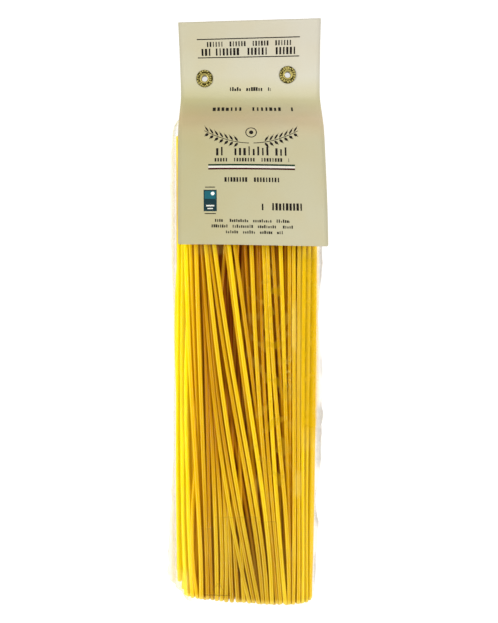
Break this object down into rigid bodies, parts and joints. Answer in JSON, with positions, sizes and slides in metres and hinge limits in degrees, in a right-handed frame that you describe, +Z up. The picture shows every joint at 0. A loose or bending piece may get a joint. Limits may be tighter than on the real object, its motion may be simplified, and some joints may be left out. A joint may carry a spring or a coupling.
{
  "type": "bag of dry spaghetti with card header",
  "caption": "Long slim clear bag of thick dry spaghetti lying flat, closed at the top by a folded card header with eyelets.",
  "frame": {"origin": "under the middle of the whole pack, on the surface it lies on", "axes": "+Y along the noodles towards the card header, +Z up out of the front of the pack, +X to the right as the front is read"},
  "size_m": [0.0876, 0.3312, 0.0325],
  "materials": {
    "pasta": "smooth semi-translucent dry pasta, golden yellow",
    "film": "thin clear glossy film with creases",
    "card": "smooth cream card, satin",
    "print": "flat dark ink with small green, red and teal fields",
    "brass": "stamped, satin"
  },
  "bodies": {
    "root": {"spaghetti_bag": "pasta", "card_header": "card", "eyelet_left": "brass", "eyelet_right": "brass"}
  },
  "joints": []
}
